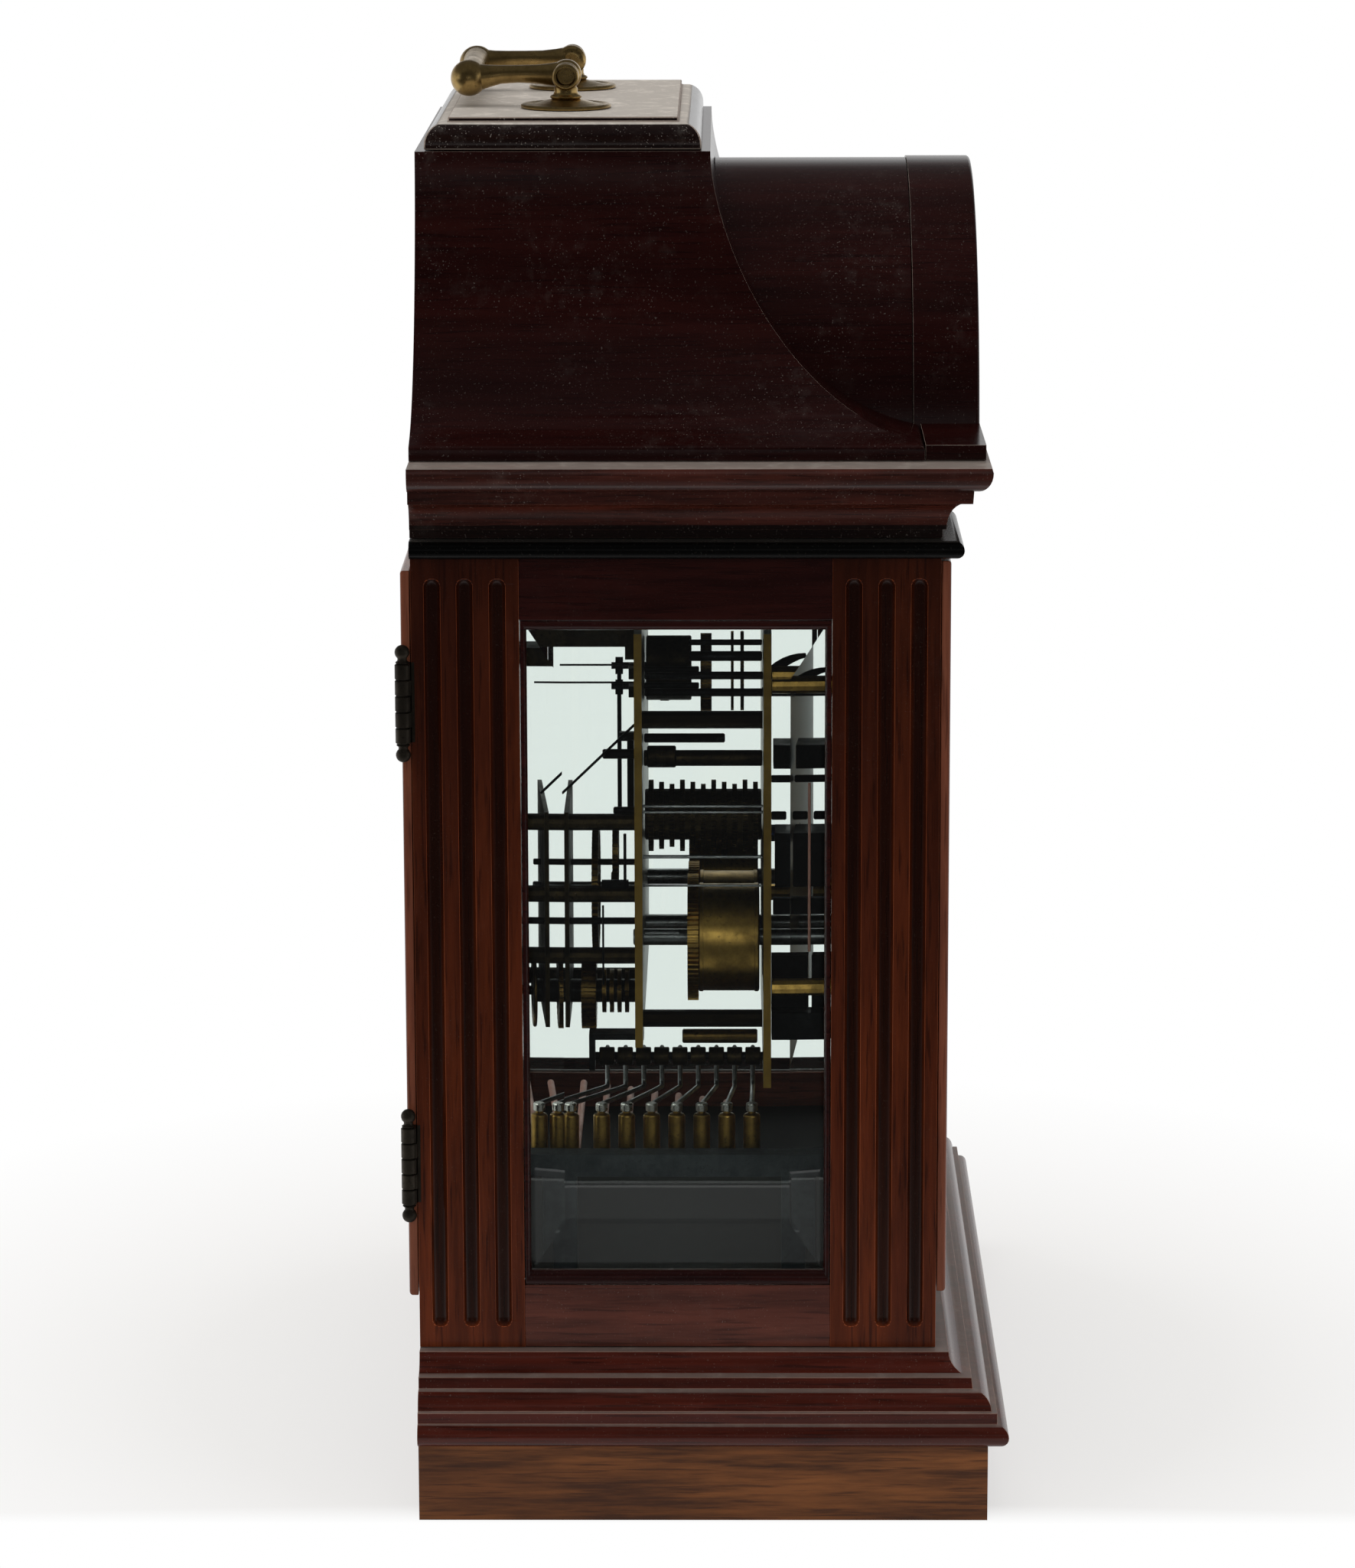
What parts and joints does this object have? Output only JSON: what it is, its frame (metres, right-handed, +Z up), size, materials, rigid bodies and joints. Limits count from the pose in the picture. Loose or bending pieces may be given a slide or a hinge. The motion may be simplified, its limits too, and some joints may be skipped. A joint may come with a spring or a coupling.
{
  "type": "bracket clock",
  "caption": "Glazed bracket clock: bell top, arched hood, hinged front and rear doors, bail handle, spring-driven chiming movement.",
  "frame": {"origin": "centre of the bounding box's underside, on the surface that the plinth stands on", "axes": "+X to the clock's right as seen from its front, +Y to its back, +Z up"},
  "size_m": [0.32, 0.1974, 0.4653],
  "materials": {
    "mahogany": "dark french-polished mahogany, glossy",
    "ebonised_wood": "ebonised, polished",
    "plinth_wood": "lighter mahogany, dull polish",
    "clear_glass": "polished, bevelled edges",
    "antique_brass": "antique, worn",
    "movement_brass": "lacquered, slightly tarnished",
    "bronze": "dark bronzed brass",
    "steel": "polished steel",
    "silvered_brass": "silvered, matt",
    "blued_steel": "blued",
    "cast_iron": "grey, rough",
    "copper": "copper coloured, dull"
  },
  "bodies": {
    "case": {"plinth": "plinth_wood", "base_moulding": "mahogany", "bottom_board": "ebonised_wood", "side_frame_left": "mahogany", "side_frame_right": "mahogany", "side_glass_left": "clear_glass", "side_glass_right": "clear_glass", "glass_bead_left": "mahogany", "glass_bead_right": "mahogany", "rear_frame": "mahogany", "front_frame": "mahogany", "astragal": "ebonised_wood", "cornice": "mahogany", "bell_top": "mahogany", "arch_hood": "mahogany", "arch_ring": "mahogany", "top_board": "mahogany", "handle_post_left": "antique_brass", "handle_post_right": "antique_brass", "rear_hinge_lower_case_leaf": "bronze", "rear_hinge_upper_case_leaf": "bronze", "front_hinge_lower_case_leaf": "bronze", "front_hinge_upper_case_leaf": "bronze", "dial_plate": "movement_brass", "chapter_ring": "silvered_brass", "arch_dial": "silvered_brass", "front_plate": "movement_brass", "back_plate": "movement_brass", "chime_frame": "movement_brass", "back_cock": "movement_brass", "chime_block": "cast_iron", "chime_rods": "copper", "hammer_rail": "steel"},
    "rear_door": {"rear_door_frame": "mahogany", "rear_door_glass": "clear_glass", "rear_hinge_lower_door_leaf": "bronze", "rear_hinge_upper_door_leaf": "bronze"},
    "front_door": {"front_door_frame": "mahogany", "front_door_glass": "clear_glass", "front_hinge_lower_door_leaf": "bronze", "front_hinge_upper_door_leaf": "bronze"},
    "bail": {"bail_handle": "antique_brass"},
    "minute_hand": {"minute_hand": "blued_steel"},
    "hour_hand": {"hour_hand": "blued_steel"},
    "arch_dial_hand": {"arch_dial_hand": "blued_steel"},
    "going_barrel": {"going_barrel": "movement_brass"},
    "strike_barrel": {"strike_barrel": "movement_brass"},
    "chime_barrel": {"chime_barrel": "movement_brass"},
    "chime_drum": {"chime_drum": "movement_brass"},
    "chime_wheel": {"chime_wheel": "movement_brass"},
    "crutch": {"crutch": "steel"},
    "hammer_1": {"hammer_1": "movement_brass"},
    "hammer_2": {"hammer_2": "movement_brass"},
    "hammer_3": {"hammer_3": "movement_brass"},
    "hammer_4": {"hammer_4": "movement_brass"},
    "hammer_5": {"hammer_5": "movement_brass"},
    "hammer_6": {"hammer_6": "movement_brass"},
    "hammer_7": {"hammer_7": "movement_brass"},
    "hammer_8": {"hammer_8": "movement_brass"},
    "hammer_9": {"hammer_9": "movement_brass"}
  },
  "joints": [
    {"name": "rear_door_hinge", "type": "hinge", "parent": "case", "child": "rear_door", "pos_m": [-0.1391, 0.09627, 0.195], "axis": [0, 0, 1], "range_deg": [0, 110]},
    {"name": "front_door_hinge", "type": "hinge", "parent": "case", "child": "front_door", "pos_m": [0.1391, -0.07812, 0.195], "axis": [0, 0, 1], "range_deg": [0, 110]},
    {"name": "bail_swing", "type": "hinge", "parent": "case", "child": "bail", "pos_m": [0, 0.04578, 0.4603], "axis": [1, 0, 0], "range_deg": [0, 180]},
    {"name": "minute_hand_turn", "type": "hinge", "parent": "case", "child": "minute_hand", "pos_m": [0, -0.05643, 0.196], "axis": [0, 1, 0], "continuous": true},
    {"name": "hour_hand_turn", "type": "hinge", "parent": "case", "child": "hour_hand", "pos_m": [0, -0.05643, 0.196], "axis": [0, 1, 0], "continuous": true},
    {"name": "arch_dial_hand_turn", "type": "hinge", "parent": "case", "child": "arch_dial_hand", "pos_m": [0, -0.05643, 0.342], "axis": [0, 1, 0], "range_deg": [-60, 60]},
    {"name": "going_barrel_turn", "type": "hinge", "parent": "case", "child": "going_barrel", "pos_m": [0, -0.00643, 0.164], "axis": [0, 1, 0], "continuous": true},
    {"name": "strike_barrel_turn", "type": "hinge", "parent": "case", "child": "strike_barrel", "pos_m": [0.045, -0.00643, 0.17], "axis": [0, 1, 0], "continuous": true},
    {"name": "chime_barrel_turn", "type": "hinge", "parent": "case", "child": "chime_barrel", "pos_m": [-0.045, -0.00643, 0.17], "axis": [0, 1, 0], "continuous": true},
    {"name": "chime_wheel_turn", "type": "hinge", "parent": "case", "child": "chime_wheel", "pos_m": [-0.018, 0.03857, 0.18148], "axis": [0, 1, 0], "continuous": true},
    {"name": "chime_drum_turn", "type": "hinge", "parent": "case", "child": "chime_drum", "pos_m": [-0.0287, 0.04358, 0.147], "axis": [0, 1, 0], "continuous": true},
    {"name": "crutch_swing", "type": "hinge", "parent": "case", "child": "crutch", "pos_m": [0, 0.02958, 0.248], "axis": [0, 1, 0], "range_deg": [-3, 3]},
    {"name": "hammer_1_lift", "type": "hinge", "parent": "case", "child": "hammer_1", "pos_m": [-0.052, 0.03358, 0.13], "axis": [0, 1, 0], "range_deg": [0, 12]},
    {"name": "hammer_2_lift", "type": "hinge", "parent": "case", "child": "hammer_2", "pos_m": [-0.052, 0.02738, 0.13], "axis": [0, 1, 0], "range_deg": [0, 12]},
    {"name": "hammer_3_lift", "type": "hinge", "parent": "case", "child": "hammer_3", "pos_m": [-0.052, 0.02117, 0.13], "axis": [0, 1, 0], "range_deg": [0, 12]},
    {"name": "hammer_4_lift", "type": "hinge", "parent": "case", "child": "hammer_4", "pos_m": [-0.052, 0.01498, 0.13], "axis": [0, 1, 0], "range_deg": [0, 12]},
    {"name": "hammer_5_lift", "type": "hinge", "parent": "case", "child": "hammer_5", "pos_m": [-0.052, 0.00877, 0.13], "axis": [0, 1, 0], "range_deg": [0, 12]},
    {"name": "hammer_6_lift", "type": "hinge", "parent": "case", "child": "hammer_6", "pos_m": [-0.052, 0.00258, 0.13], "axis": [0, 1, 0], "range_deg": [0, 12]},
    {"name": "hammer_7_lift", "type": "hinge", "parent": "case", "child": "hammer_7", "pos_m": [-0.052, -0.00363, 0.13], "axis": [0, 1, 0], "range_deg": [0, 12]},
    {"name": "hammer_8_lift", "type": "hinge", "parent": "case", "child": "hammer_8", "pos_m": [-0.052, -0.00983, 0.13], "axis": [0, 1, 0], "range_deg": [0, 12]},
    {"name": "hammer_9_lift", "type": "hinge", "parent": "case", "child": "hammer_9", "pos_m": [-0.052, -0.01603, 0.13], "axis": [0, 1, 0], "range_deg": [0, 12]}
  ],
  "couplings": [
    {"joint": "hour_hand_turn", "follows": "minute_hand_turn", "ratio": 0.083333},
    {"joint": "chime_wheel_turn", "follows": "chime_barrel_turn", "ratio": -4},
    {"joint": "chime_drum_turn", "follows": "chime_barrel_turn", "ratio": 7.0154}
  ]
}
